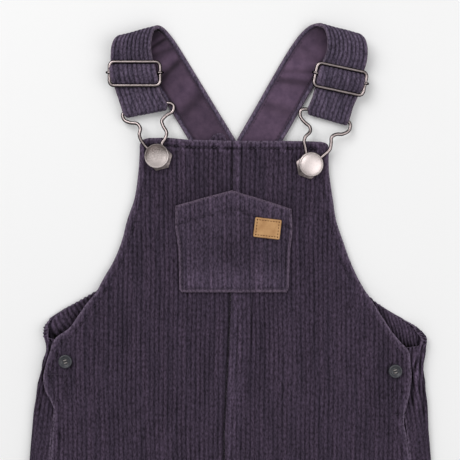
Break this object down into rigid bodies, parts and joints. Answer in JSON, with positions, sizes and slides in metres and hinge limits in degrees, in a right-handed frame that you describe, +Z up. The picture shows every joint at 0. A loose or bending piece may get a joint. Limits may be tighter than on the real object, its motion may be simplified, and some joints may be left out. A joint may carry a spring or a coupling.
{
  "type": "toddler overalls",
  "caption": "Toddler dungarees in wide-wale corduroy, laid flat, with folded straps, wire sliders, hook clasps, tack buttons and a chest pocket.",
  "frame": {"origin": "middle of the footprint, on the surface that the garment lies on", "axes": "+X to the right as seen from the front, +Y from the hems up to the straps, +Z up out of the garment's front"},
  "size_m": [0.296, 0.6516, 0.0127],
  "materials": {
    "corduroy": "wide-wale corduroy, dark plum, soft pile",
    "lining": "smooth cotton twill, plum",
    "label": "tan leather-look patch, matt",
    "metal": "brushed pewter plating",
    "button": "dark grey, satin"
  },
  "bodies": {
    "root": {"front_left": "corduroy", "front_right": "corduroy", "back_left": "corduroy", "back_right": "corduroy", "side_facing_left": "corduroy", "side_facing_right": "corduroy", "neck_facing": "corduroy", "pocket": "corduroy", "strap_left": "corduroy", "strap_right": "corduroy", "strap_lining_left": "lining", "strap_lining_right": "lining", "label": "label", "slider_left": "metal", "slider_right": "metal", "hook_left": "metal", "hook_right": "metal", "tack_plate_left": "metal", "tack_plate_right": "metal", "tack_cap_left": "metal", "tack_cap_right": "metal", "button_left": "button", "button_right": "button"}
  },
  "joints": []
}
